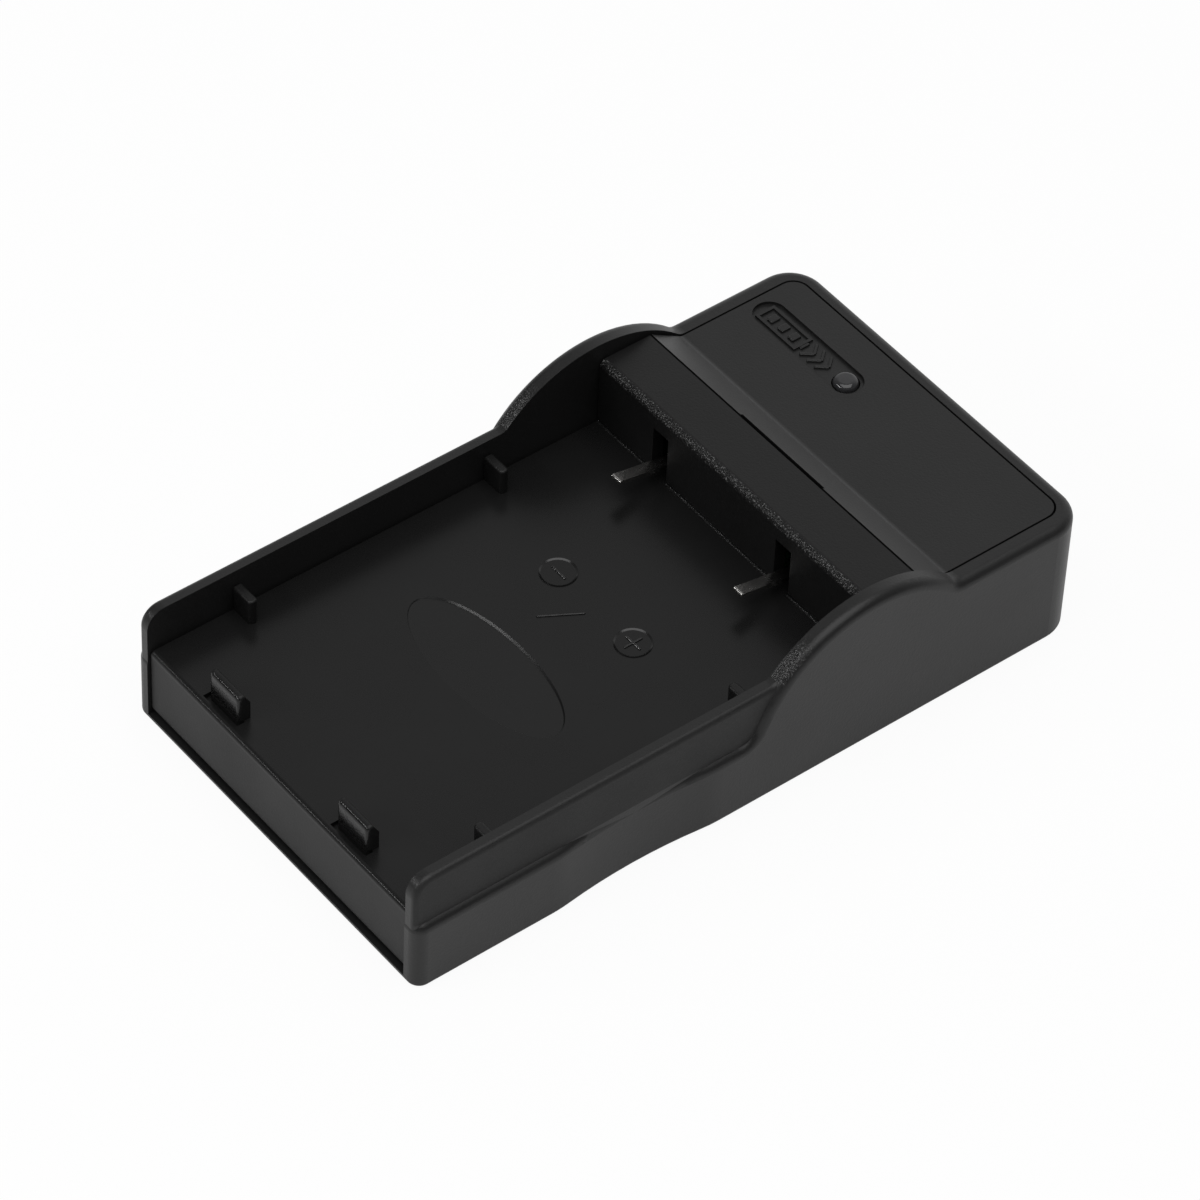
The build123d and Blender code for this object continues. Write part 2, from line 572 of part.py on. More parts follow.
# Circuit board with holes for the contact legs and the screws
with BuildPart() as circuit_board:
    with BuildSketch(Plane.XY.offset(BOARD_UNDER)) as board_plan:
        with Locations((0, (BOARD_FRONT + BOARD_REAR) / 2)):
            RectangleRounded(2 * BOARD_HALF, BOARD_REAR - BOARD_FRONT, BOARD_CORNER_RADIUS)
        with Locations(*[(x, LEG_Y + BLADE_THICK / 2) for x in CONTACT_XS]):
            Rectangle(BLADE_WIDTH + LEG_HOLE_SLACK, BLADE_THICK + LEG_HOLE_SLACK, mode=Mode.SUBTRACT)
        with Locations(*FRONT_POST_SPOTS):
            Circle(SCREW_RADIUS + CLEARANCE_SLACK, mode=Mode.SUBTRACT)
    extrude(amount=BOARD_THICK)
circuit_board.part.label = "circuit_board"
export_step(circuit_board.part, "parts/circuit_board.step")

# Contact strip in side view: a blade that rises toward its tip and bends down into the board
with BuildSketch(Plane.YZ) as contact_view:
    with BuildLine():
        Polyline(
            (BLADE_TIP_Y, BLADE_TIP_TOP),
            (LEG_Y + BLADE_THICK, BLADE_ROOT_TOP),
            (LEG_Y + BLADE_THICK, BOARD_UNDER - LEG_BELOW_BOARD),
            (LEG_Y, BOARD_UNDER - LEG_BELOW_BOARD),
            (LEG_Y, BLADE_ROOT_TOP - BLADE_THICK),
            (BLADE_TIP_Y, BLADE_TIP_TOP - BLADE_THICK),
            close=True,
        )
    make_face()
    fillet(corner(contact_view, LEG_Y + BLADE_THICK, BLADE_ROOT_TOP), BLADE_BEND + BLADE_THICK)
    fillet(corner(contact_view, LEG_Y, BLADE_ROOT_TOP - BLADE_THICK), BLADE_BEND)
    fillet(corner(contact_view, BLADE_TIP_Y, BLADE_TIP_TOP), BLADE_TIP_RADIUS)

with BuildPart() as negative_contact:
    extrude(contact_view.sketch.moved(Location((CONTACT_XS[0], 0, 0))), amount=BLADE_WIDTH / 2, both=True)
negative_contact.part.label = "negative_contact"
export_step(negative_contact.part, "parts/negative_contact.step")

with BuildPart() as positive_contact:
    extrude(contact_view.sketch.moved(Location((CONTACT_XS[1], 0, 0))), amount=BLADE_WIDTH / 2, both=True)
positive_contact.part.label = "positive_contact"
export_step(positive_contact.part, "parts/positive_contact.step")

# Four screws from below, heads sunk in the base
with BuildPart() as base_screws:
    with BuildSketch(Plane.XY.offset(SINK_DEPTH)) as base_heads:
        with Locations(*BASE_SCREW_SPOTS):
            Circle(SCREW_HEAD_RADIUS)
    extrude(amount=-SCREW_HEAD_HEIGHT)
    chamfer(base_screws.edges().group_by(Axis.Z)[0], SCREW_EDGE)
    with BuildSketch(Plane.XY.offset(SINK_DEPTH)) as base_shanks:
        with Locations(*BASE_SCREW_SPOTS):
            Circle(SCREW_RADIUS)
    extrude(amount=SCREW_GRIP)
    chamfer(base_screws.edges().group_by(Axis.Z)[-1], SCREW_POINT, SCREW_RADIUS / 2)
    with BuildSketch(Plane.XY.offset(SINK_DEPTH - SCREW_HEAD_HEIGHT)) as base_crosses:
        with Locations(*BASE_SCREW_SPOTS):
            Rectangle(CROSS_LENGTH, CROSS_WIDTH)
            Rectangle(CROSS_WIDTH, CROSS_LENGTH)
    extrude(amount=CROSS_DEPTH, mode=Mode.SUBTRACT)
base_screws.part.label = "base_screws"
export_step(base_screws.part, "parts/base_screws.step")

# Two screws from above into the front board posts
with BuildPart() as board_screws:
    with BuildSketch(Plane.XY.offset(BOARD_TOP)) as board_heads:
        with Locations(*FRONT_POST_SPOTS):
            Circle(SCREW_HEAD_RADIUS)
    extrude(amount=SCREW_HEAD_HEIGHT)
    chamfer(board_screws.edges().group_by(Axis.Z)[-1], SCREW_EDGE)
    with BuildSketch(Plane.XY.offset(BOARD_TOP)) as board_shanks:
        with Locations(*FRONT_POST_SPOTS):
            Circle(SCREW_RADIUS)
    extrude(amount=-BOARD_SCREW_GRIP)
    with BuildSketch(Plane.XY.offset(BOARD_TOP + SCREW_HEAD_HEIGHT)) as board_crosses:
        with Locations(*FRONT_POST_SPOTS):
            Rectangle(CROSS_LENGTH, CROSS_WIDTH)
            Rectangle(CROSS_WIDTH, CROSS_LENGTH)
    extrude(amount=-CROSS_DEPTH, mode=Mode.SUBTRACT)
board_screws.part.label = "board_screws"
export_step(board_screws.part, "parts/board_screws.step")

# Micro-USB inlet: shell seen from the rear, with its two lower corners cut
with BuildSketch(Plane.XZ.offset(-USB_MOUTH)) as shell_view:
    with Locations((0, USB_Z)):
        Rectangle(USB_WIDTH, USB_HEIGHT)
    chamfer(shell_view.vertices().group_by(Axis.Y)[0], USB_CHAMFER)

with BuildPart() as usb_shell:
    extrude(shell_view.sketch, amount=USB_LENGTH)
    shell_ends = usb_shell.faces().filter_by(Axis.Y)
    offset(amount=-USB_METAL, openings=shell_ends)
usb_shell.part.label = "usb_shell"
export_step(usb_shell.part, "parts/usb_shell.step")

# Plastic back of the inlet, filling the shell, with the tongue standing out of it
with BuildPart() as usb_tongue:
    with BuildSketch(Plane.XZ.offset(-USB_TAIL_Y)) as back_view:
        with Locations((0, USB_Z)):
            Rectangle(USB_WIDTH, USB_HEIGHT)
        chamfer(back_view.vertices().group_by(Axis.Y)[0], USB_CHAMFER)
        offset(amount=-USB_METAL, kind=Kind.INTERSECTION, mode=Mode.REPLACE)
    extrude(amount=-USB_BACK)
    with BuildSketch(Plane.XZ.offset(-USB_TAIL_Y)) as tongue_view:
        with Locations((0, BOARD_TOP + TONGUE_LIFT + TONGUE_THICK / 2)):
            Rectangle(TONGUE_WIDTH, TONGUE_THICK)
    extrude(amount=TONGUE_SHORT - USB_LENGTH)
usb_tongue.part.label = "usb_tongue"
export_step(usb_tongue.part, "parts/usb_tongue.step")

# Contact strips of the inlet: along the top of the tongue
with BuildPart() as usb_pins:
    with BuildSketch(Plane.XY.offset(BOARD_TOP + TONGUE_LIFT + TONGUE_THICK)) as pin_plan:
        with Locations((0, (USB_TAIL_Y + USB_BACK + USB_MOUTH - TONGUE_SHORT) / 2)):
            with GridLocations(PIN_PITCH, LENGTH, PIN_COUNT, 1):
                Rectangle(PIN_WIDTH, USB_MOUTH - TONGUE_SHORT - USB_TAIL_Y - USB_BACK)
    extrude(amount=PIN_THICK)
usb_pins.part.label = "usb_pins"
export_step(usb_pins.part, "parts/usb_pins.step")

# Lamp on the board, with a round cup in its top
with BuildPart() as status_led:
    with BuildSketch(Plane.XY.offset(BOARD_TOP)) as led_plan:
        with Locations((LENS_X, LEGEND_Y)):
            Rectangle(LED_LENGTH, LED_WIDTH)
    extrude(amount=LED_HEIGHT)
    with BuildSketch(Plane.XY.offset(LED_TOP)) as led_cup:
        with Locations((LENS_X, LEGEND_Y)):
            Circle(LED_CUP_RADIUS)
    extrude(amount=-LED_CUP_DEPTH, mode=Mode.SUBTRACT)
status_led.part.label = "status_led"
export_step(status_led.part, "parts/status_led.step")

# Charge controller: body and its gull-wing leads
with BuildPart() as controller_chip:
    with BuildSketch(Plane.XY.offset(BOARD_TOP + CHIP_LIFT)) as chip_plan:
        with Locations(on_board(CHIP_SPOT)):
            Rectangle(CHIP_WIDTH, CHIP_LENGTH)
    extrude(amount=CHIP_HEIGHT)
controller_chip.part.label = "controller_chip"
export_step(controller_chip.part, "parts/controller_chip.step")

with BuildPart() as controller_leads:
    chip_x, chip_y = on_board(CHIP_SPOT)
    lead_rows = [chip_y + LEAD_PITCH * (row - (LEAD_COUNT - 1) / 2) for row in range(LEAD_COUNT)]
    lead_spots = [(chip_x, y, BOARD_TOP) for y in lead_rows]
    with BuildSketch(*[Plane(spot, x_dir=(1, 0, 0), z_dir=(0, -1, 0)) for spot in lead_spots]) as lead_view:
        with BuildLine():
            Polyline(
                (CHIP_WIDTH / 2, LEAD_RISE),
                (CHIP_WIDTH / 2 + LEAD_KNEE, LEAD_RISE),
                (CHIP_WIDTH / 2 + LEAD_KNEE, LEAD_THICK),
                (CHIP_WIDTH / 2 + LEAD_REACH, LEAD_THICK),
                (CHIP_WIDTH / 2 + LEAD_REACH, 0),
                (CHIP_WIDTH / 2 + LEAD_KNEE - LEAD_THICK, 0),
                (CHIP_WIDTH / 2 + LEAD_KNEE - LEAD_THICK, LEAD_RISE - LEAD_THICK),
                (CHIP_WIDTH / 2, LEAD_RISE - LEAD_THICK),
                close=True,
            )
        make_face()
        mirror(about=Plane.YZ)
    extrude(amount=LEAD_WIDTH / 2, both=True)
controller_leads.part.label = "controller_leads"
export_step(controller_leads.part, "parts/controller_leads.step")

# Coil of the step-up converter: a moulded block with a shallow round dish
with BuildPart() as power_inductor:
    with BuildSketch(Plane.XY.offset(BOARD_TOP)) as coil_plan:
        with Locations(on_board(COIL_SPOT)):
            RectangleRounded(COIL_SIZE, COIL_SIZE, COIL_CORNER_RADIUS)
    extrude(amount=COIL_HEIGHT)
    with BuildSketch(Plane.XY.offset(BOARD_TOP + COIL_HEIGHT)) as coil_dish:
        with Locations(on_board(COIL_SPOT)):
            Circle(COIL_DISH_RADIUS)
    extrude(amount=-COIL_DISH_DEPTH, mode=Mode.SUBTRACT)
power_inductor.part.label = "power_inductor"
export_step(power_inductor.part, "parts/power_inductor.step")

with BuildPart() as rectifier_diode:
    with BuildSketch(Plane.XY.offset(BOARD_TOP)) as diode_plan:
        with Locations(on_board(DIODE_SPOT)):
            Rectangle(DIODE_LENGTH, DIODE_WIDTH)
    extrude(amount=DIODE_HEIGHT)
    chamfer(rectifier_diode.faces().sort_by(Axis.Z)[-1].edges(), DIODE_CHAMFER)
rectifier_diode.part.label = "rectifier_diode"
export_step(rectifier_diode.part, "parts/rectifier_diode.step")

# Bulk capacitor: plastic seat and can
with BuildPart() as capacitor_base:
    with BuildSketch(Plane.XY.offset(BOARD_TOP)) as seat_plan:
        with Locations(on_board(CAN_SPOT)):
            Rectangle(2 * (CAN_RADIUS + SEAT_MARGIN), 2 * (CAN_RADIUS + SEAT_MARGIN))
        chamfer(seat_plan.vertices().group_by(Axis.Y)[-1], SEAT_CHAMFER)
    extrude(amount=SEAT_HEIGHT)
capacitor_base.part.label = "capacitor_base"
export_step(capacitor_base.part, "parts/capacitor_base.step")

with BuildPart() as capacitor_can:
    with BuildSketch(Plane.XY.offset(BOARD_TOP + SEAT_HEIGHT)) as can_plan:
        with Locations(on_board(CAN_SPOT)):
            Circle(CAN_RADIUS)
    extrude(amount=CAN_HEIGHT)
    chamfer(capacitor_can.edges().group_by(Axis.Z)[-1], CAN_EDGE)
capacitor_can.part.label = "capacitor_can"
export_step(capacitor_can.part, "parts/capacitor_can.step")

# Small chip parts, grouped by kind
with BuildPart() as ceramic_capacitors:
    with BuildSketch(Plane.XY.offset(BOARD_TOP)) as ceramic_plan:
        with Locations(*[on_board(spot) for spot in CERAMIC_SPOTS]):
            Rectangle(CERAMIC_LENGTH, CERAMIC_WIDTH)
    extrude(amount=CERAMIC_HEIGHT)
ceramic_capacitors.part.label = "ceramic_capacitors"
export_step(ceramic_capacitors.part, "parts/ceramic_capacitors.step")

with BuildPart() as chip_resistors:
    with BuildSketch(Plane.XY.offset(BOARD_TOP)) as resistor_plan:
        with Locations(*[on_board(spot) for spot in RESISTOR_SPOTS]):
            Rectangle(RESISTOR_LENGTH, RESISTOR_WIDTH)
    extrude(amount=RESISTOR_HEIGHT)
chip_resistors.part.label = "chip_resistors"
export_step(chip_resistors.part, "parts/chip_resistors.step")
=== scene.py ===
# %% [markdown]
# # A camera battery charger
#
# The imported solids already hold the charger's shape: a black case, a tray for the battery,
# a rear cover with a small lamp window, and two metal blades that feed the battery.
# This lesson gives every piece its finish, adds the raised marks that are too fine for
# the solids, and sets up the studio. All sizes are in metres, in the frame of the solids.

# %% Load the solids
import json
import math

import bmesh
import bpy
from mathutils import Matrix, Vector


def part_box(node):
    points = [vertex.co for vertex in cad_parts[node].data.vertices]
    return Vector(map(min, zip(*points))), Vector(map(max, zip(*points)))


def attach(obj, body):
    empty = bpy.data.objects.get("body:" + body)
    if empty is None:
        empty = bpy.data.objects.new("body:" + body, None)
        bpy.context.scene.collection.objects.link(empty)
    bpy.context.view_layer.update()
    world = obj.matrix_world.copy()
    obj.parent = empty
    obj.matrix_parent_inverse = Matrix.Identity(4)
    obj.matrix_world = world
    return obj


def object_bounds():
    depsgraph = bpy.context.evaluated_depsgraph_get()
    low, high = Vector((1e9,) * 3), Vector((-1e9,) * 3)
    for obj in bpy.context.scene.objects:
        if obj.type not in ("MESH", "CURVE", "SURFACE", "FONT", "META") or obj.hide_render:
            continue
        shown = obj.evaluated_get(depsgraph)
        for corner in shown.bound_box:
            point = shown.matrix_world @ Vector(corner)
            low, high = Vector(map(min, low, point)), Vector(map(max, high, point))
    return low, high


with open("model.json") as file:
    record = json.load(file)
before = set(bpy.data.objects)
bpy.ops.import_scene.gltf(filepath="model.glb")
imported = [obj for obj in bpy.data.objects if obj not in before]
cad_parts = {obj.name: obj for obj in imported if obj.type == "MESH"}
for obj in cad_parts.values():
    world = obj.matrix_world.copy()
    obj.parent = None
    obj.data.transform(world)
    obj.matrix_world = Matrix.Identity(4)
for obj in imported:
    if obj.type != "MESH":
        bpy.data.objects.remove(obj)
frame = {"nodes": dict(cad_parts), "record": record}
nodes = frame["nodes"]
cad_low, cad_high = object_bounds()
MM = 0.001
print("solids:", len(nodes), "size in mm:", [round(v / MM, 2) for v in cad_high - cad_low])

# %% [markdown]
# ## Camera
#
# A long lens far away keeps the charger's edges almost parallel, as in a catalogue picture.
# The camera is placed by a point, two angles and a small roll. Building its matrix from
# three axes is steadier than a Track To constraint, because it can hold the roll as well.

# %% Camera
VIEW_AZIMUTH = math.radians(49.80)
VIEW_ELEVATION = math.radians(45.73)
VIEW_ROLL = math.radians(3.00)
CAMERA_PLACE = Vector((377.196, -318.81, 516.858)) * MM
LENS_LENGTH = 188.04
SENSOR = 36.0
FRAME_SHIFT = (-0.0119, 0.0012)

back = Vector((
    math.sin(VIEW_AZIMUTH) * math.cos(VIEW_ELEVATION),
    -math.cos(VIEW_AZIMUTH) * math.cos(VIEW_ELEVATION),
    math.sin(VIEW_ELEVATION),
))
level_right = Vector((math.cos(VIEW_AZIMUTH), math.sin(VIEW_AZIMUTH), 0))
level_up = back.cross(level_right)
right = math.cos(VIEW_ROLL) * level_right + math.sin(VIEW_ROLL) * level_up
up = math.cos(VIEW_ROLL) * level_up - math.sin(VIEW_ROLL) * level_right

lens_data = bpy.data.cameras.new("studio_camera")
lens_data.lens = LENS_LENGTH
lens_data.sensor_width = SENSOR
lens_data.shift_x, lens_data.shift_y = FRAME_SHIFT
camera = bpy.data.objects.new("studio_camera", lens_data)
camera.matrix_world = Matrix.Translation(CAMERA_PLACE) @ Matrix((right, up, back)).transposed().to_4x4()
bpy.context.scene.collection.objects.link(camera)
bpy.context.scene.camera = camera
bpy.context.scene.view_settings.view_transform = "Standard"
print("camera distance in mm:", round(CAMERA_PLACE.length / MM, 1))

# %% [markdown]
# ## Node helpers
#
# Materials here are small graphs of nodes. Wired one link at a time they would be hard to
# read, so a few helpers do that work: they add a node and fill its inputs, calculate, map a
# range, make noise, mix two colours, and open a material with its shader at hand. Constant
# values are set on the shader's own sockets, and only what changes over the surface is wired.


# %% Helpers that add nodes
def feed(tree, socket, value):
    """Wires a value that comes from another node, and sets one that is plain."""
    if isinstance(value, bpy.types.NodeSocket):
        tree.links.new(value, socket)
    else:
        socket.default_value = value


def add_node(tree, kind, settings=(), **inputs):
    """Adds a shader node; settings are its properties and inputs its sockets, by name."""
    node = tree.nodes.new(kind)
    for name, value in dict(settings).items():
        setattr(node, name, value)
    for name, value in inputs.items():
        feed(tree, node.inputs[name.replace("_", " ")], value)
    return node


def calculate(tree, operation, *values):
    """One Math node; each value is a number or a socket."""
    node = add_node(tree, "ShaderNodeMath", {"operation": operation})
    for socket, value in zip(node.inputs, values):
        feed(tree, socket, value)
    return node.outputs[0]


def spread(tree, value, low, high, start=0.0, end=1.0):
    """Maps a value from the range low to high onto start to end, and clamps it there."""
    node = add_node(
        tree, "ShaderNodeMapRange", Value=value, From_Min=low, From_Max=high, To_Min=start, To_Max=end
    )
    return node.outputs["Result"]


def noise(tree, place, scale, detail, roughness=0.5):
    """Noise between about 0 and 1; scale is how many of its waves fit in a metre."""
    node = add_node(
        tree, "ShaderNodeTexNoise", Vector=place, Scale=scale, Detail=detail, Roughness=roughness
    )
    return node.outputs["Fac"]


print("node helpers ready")

# %% Helpers for colours and materials
# A Mix node has sockets for every kind of value; these are the places of its colours.
MIX_COLOURS = (6, 7)
MIX_RESULT = 2


def colour(value):
    """A grey value or a triple as the four numbers that a colour socket takes."""
    return (value, value, value, 1) if isinstance(value, (int, float)) else (*value, 1)


def blend_colours(tree, factor, first, second):
    """Mixes two colours by a socket; a colour is a grey value, a triple or a socket."""
    node = add_node(tree, "ShaderNodeMix", {"data_type": "RGBA"}, Factor=factor)
    for index, value in zip(MIX_COLOURS, (first, second)):
        wired = isinstance(value, bpy.types.NodeSocket)
        feed(tree, node.inputs[index], value if wired else colour(value))
    return node.outputs[MIX_RESULT]


def new_material(name):
    """A new material with its tree, its Principled shader and its Object coordinates."""
    material = bpy.data.materials.new(name)
    material.use_nodes = True
    tree = material.node_tree
    shader = tree.nodes["Principled BSDF"]
    place = tree.nodes.new("ShaderNodeTexCoord").outputs["Object"]
    return material, tree, shader, place


def bump_from(tree, shader, height, depth, strength=1.0):
    """Wires a height between 0 and 1 to the shader's normal; depth is its real depth."""
    bump = add_node(tree, "ShaderNodeBump", Strength=strength, Distance=depth, Height=height)
    feed(tree, shader.inputs["Normal"], bump.outputs["Normal"])


print("material helpers ready")

# %% [markdown]
# ## Spark grain
#
# The mould of such a charger is eroded by sparks, which leaves a fine orange-peel of pits.
# It is far too fine to model, but it is what makes rounded black edges sparkle. A node
# group holds it once: noise for the peel, cells for the pits, and a slow drift of tone from
# the way the plastic flowed. Every plastic piece then asks for its own grain size. A second
# group, for metals, comes later. Both take two tones and two values of roughness and end
# alike, so helpers hold what they share.

# %% Helpers for finish groups
FINISH_INPUTS = [("Dark", "Color"), ("Light", "Color"), ("Smooth", "Float"), ("Rough", "Float")]
FINISH_OUTPUTS = [("Colour", "Color"), ("Roughness", "Float"), ("Height", "Float")]
TONE_LOW = 0.3
TONE_HIGH = 0.7


def new_finish_group(name, *inputs):
    """An empty finish group; inputs give the name and type of each socket of its own."""
    group = bpy.data.node_groups.new(name, "ShaderNodeTree")
    for socket, kind in (*inputs, *FINISH_INPUTS):
        group.interface.new_socket(socket, in_out="INPUT", socket_type="NodeSocket" + kind)
    for socket, kind in FINISH_OUTPUTS:
        group.interface.new_socket(socket, in_out="OUTPUT", socket_type="NodeSocket" + kind)
    return group, group.nodes.new("NodeGroupInput").outputs


def end_finish_group(group, entry, tone, height):
    """Ends a finish group: the tone mixes its two colours and spreads its roughness."""
    shade = blend_colours(group, tone, entry["Dark"], entry["Light"])
    roughness = spread(group, tone, TONE_LOW, TONE_HIGH, entry["Smooth"], entry["Rough"])
    add_node(group, "NodeGroupOutput", Colour=shade, Roughness=roughness, Height=height)
    print("group:", group.name, "nodes:", len(group.nodes))


def use_finish_group(tree, group, place, tones, roughness, **inputs):
    """Places a finish group in a material; tones and roughness are pairs of limits."""
    dark, light = tones
    smooth, rough = roughness
    node = add_node(
        tree, "ShaderNodeGroup", {"node_tree": group}, Place=place, Dark=colour(dark), Light=colour(light),
        Smooth=smooth, Rough=rough, **inputs,
    )
    return node.outputs


def weigh(tree, first, first_share, second, second_share):
    """Adds up a share of one value and a share of another."""
    return calculate(
        tree, "ADD", calculate(tree, "MULTIPLY", first, first_share),
        calculate(tree, "MULTIPLY", second, second_share),
    )


print("a finish group gives:", [name for name, kind in FINISH_OUTPUTS])

# %% Spark grain group
PEEL_ROUGHNESS = 0.62
PIT_FINENESS = 0.55
DRIFT_SCALE = 90.0
PEEL_HEIGHT = 0.6
PIT_HEIGHT = 0.4
DRIFT_TONE = 0.55
PEEL_TONE = 0.45

spark_grain, entry = new_finish_group("spark_grain", ("Place", "Vector"), ("Fineness", "Float"))
peel = noise(spark_grain, entry["Place"], entry["Fineness"], detail=2.0, roughness=PEEL_ROUGHNESS)
pits = add_node(
    spark_grain, "ShaderNodeTexVoronoi", Vector=entry["Place"],
    Scale=calculate(spark_grain, "MULTIPLY", entry["Fineness"], PIT_FINENESS),
)
drift = noise(spark_grain, entry["Place"], DRIFT_SCALE, detail=3.0)
grain_height = weigh(spark_grain, peel, PEEL_HEIGHT, pits.outputs["Distance"], PIT_HEIGHT)
grain_tone = weigh(spark_grain, drift, DRIFT_TONE, peel, PEEL_TONE)
end_finish_group(spark_grain, entry, grain_tone, grain_height)

# %% [markdown]
# ## Black moulded plastics
#
# Case, tray and cover come from the same black plastic but from different mould faces. The
# tray floor and the faces of the stop tabs were polished more, so the floor mirrors the ribs
# and blades faintly. The nose of the shelf, the foot of the contact wall and the front of
# the arches were eroded deeper, so their pits tilt more and glitter. On the nose and the
# arches, bright dots are also painted into the colour as painted highlights. The front wall
# and the outer faces of the low walls stayed dull. Painted vertices could mark such zones,
# but the solids' meshes are left as they are, so masks made from the position on the piece
# tell the zones apart. One function then makes every black piece.

# %% Zone masks
# Limits of a zone are in millimetres, and these reach past the charger on every side.
ANYWHERE = (-99, 99)


def between(tree, value, low, high, fade):
    """A mask that is 1 where a value lies between two limits and fades to 0 outside them."""
    rise = spread(tree, value, low - fade, low)
    fall = spread(tree, value, high + fade, high)
    return calculate(tree, "MULTIPLY", rise, fall)


def zone_mask(tree, place, across=ANYWHERE, along=ANYWHERE, upward=ANYWHERE, fade=0.15, taper=0.15):
    """A mask for a box, the same on both sides; limits, fade and taper are in millimetres.

    Fade is how softly it ends across and upward, taper how softly it ends along the charger.
    """
    axes = add_node(tree, "ShaderNodeSeparateXYZ", Vector=place).outputs
    sideways = calculate(tree, "ABSOLUTE", axes["X"])
    mask = between(tree, sideways, across[0] * MM, across[1] * MM, fade * MM)
    for axis, limits, ease in (("Y", along, taper), ("Z", upward, fade)):
        part = between(tree, axes[axis], limits[0] * MM, limits[1] * MM, ease * MM)
        mask = calculate(tree, "MULTIPLY", mask, part)
    return mask


def change_by(tree, value, mask, share):
    """A value that gains a share of itself where a mask is 1; a negative share lessens it."""
    return calculate(tree, "MULTIPLY", value, calculate(tree, "MULTIPLY_ADD", mask, share, 1.0))


print("masks ready")

# %% Black plastic
POLISH_ON_HEIGHT = -0.9
POLISH_ON_ROUGHNESS = -0.3
BITE_GRAINS = 1.25
BITE_MIDDLE = 0.5
BITE_HEIGHT = 5.0
BITE_ON_ROUGHNESS = -0.3
# Bright dots painted into the colour of eroded zones, as painted highlights of lit pits.
PAINTED_GLINT_LOW = 0.58
PAINTED_GLINT_HIGH = 0.66
PAINTED_GLINT_TONE = 0.11


def black_plastic(name, grain, depth, tones, roughness, gloss=0.32, polished=None, coarse_and_painted_glints=(), rougher=()):
    """A moulded black plastic; grain is the size of its pits and depth their depth.

    Tones and roughness are pairs of limits, and polished is a zone. The coarse list holds zones
    that are eroded deeper, each with the share of bright dots painted into its colour as painted
    highlights, and rougher lists zones with the share that their roughness gains.
    """
    material, tree, shader, place = new_material(name)
    shader.inputs["Specular IOR Level"].default_value = gloss
    finish = use_finish_group(tree, spark_grain, place, tones, roughness, Fineness=1 / grain)
    tone, rough, height = finish["Colour"], finish["Roughness"], finish["Height"]
    if polished:
        mask = zone_mask(tree, place, **polished)
        height = change_by(tree, height, mask, POLISH_ON_HEIGHT)
        rough = change_by(tree, rough, mask, POLISH_ON_ROUGHNESS)
    for zone, share in rougher:
        rough = change_by(tree, rough, zone_mask(tree, place, **zone), share)
    if coarse_and_painted_glints:
        bites = noise(tree, place, 1 / (BITE_GRAINS * grain), detail=2.0)
        painted_glints = spread(tree, bites, PAINTED_GLINT_LOW, PAINTED_GLINT_HIGH)
        sparks = calculate(tree, "MULTIPLY", calculate(tree, "SUBTRACT", bites, BITE_MIDDLE), BITE_HEIGHT)
    for zone, share in coarse_and_painted_glints:
        mask = zone_mask(tree, place, **zone)
        height = calculate(tree, "MULTIPLY_ADD", sparks, mask, height)
        rough = change_by(tree, rough, mask, BITE_ON_ROUGHNESS)
        # Where a zone asks for it, bright dots are painted into the base colour as painted highlights.
        if share:
            shown = calculate(tree, "MULTIPLY", painted_glints, calculate(tree, "MULTIPLY", mask, share))
            tone = blend_colours(tree, shown, tone, PAINTED_GLINT_TONE)
    feed(tree, shader.inputs["Base Color"], tone)
    feed(tree, shader.inputs["Roughness"], rough)
    bump_from(tree, shader, height, depth)
    return material


print("black plastic ready")

# %% Case, tray and cover
GRAIN = 0.17 * MM
tray_floor = {"upward": (10.6, 11.15)}
shelf_nose = {"along": (15.9, 16.7), "upward": (19.6, 20.6), "fade": 0.05, "taper": 0.1}
contact_foot = {"along": (15.7, 16.1), "upward": (10.9, 11.3)}
front_wall = {"along": (-48, -46.9), "upward": (0, 10.0)}
tab_faces = {"across": (9.0, 14.8), "along": (-46.0, -45.4), "upward": (11.4, 14.9)}
arch_front = {"across": (24.2, 25.9), "along": (2.2, 5.5), "upward": (16.75, 23.0), "taper": 2.5}
low_wall = {"across": (25.3, 25.65), "along": (ANYWHERE[0], 8.0), "upward": (9.9, 16.2), "fade": 0.1}

finishes = {
    "case": black_plastic(
        "case_black", GRAIN, depth=0.02 * MM, tones=(0.008, 0.013), roughness=(0.34, 0.44), gloss=0.34,
        coarse_and_painted_glints=[(arch_front, 0.8)], rougher=[(low_wall, 0.65)],
    ),
    "battery_plate": black_plastic(
        "tray_black", GRAIN, depth=0.02 * MM, tones=(0.005, 0.009), roughness=(0.36, 0.46), gloss=0.26,
        polished=tray_floor, coarse_and_painted_glints=[(shelf_nose, 1.0), (contact_foot, 0)],
        rougher=[(front_wall, 0.2), (tab_faces, -0.6)],
    ),
    "rear_cover": black_plastic(
        "cover_black", GRAIN, depth=0.016 * MM, tones=(0.008, 0.013), roughness=(0.32, 0.42)
    ),
}
print("outer plastics:", sorted(finishes))

# %% Small black pieces
inlet_black = black_plastic(
    "inlet_black", grain=0.15 * MM, depth=0.008 * MM, tones=(0.006, 0.011), roughness=(0.40, 0.55)
)
epoxy_black = black_plastic(
    "epoxy_black", grain=0.10 * MM, depth=0.010 * MM, tones=(0.012, 0.020), roughness=(0.50, 0.65)
)
finishes.update({
    "usb_tongue": inlet_black,
    "capacitor_base": inlet_black,
    "controller_chip": epoxy_black,
    "rectifier_diode": epoxy_black,
})
print("inner plastics:", inlet_black.name, epoxy_black.name)

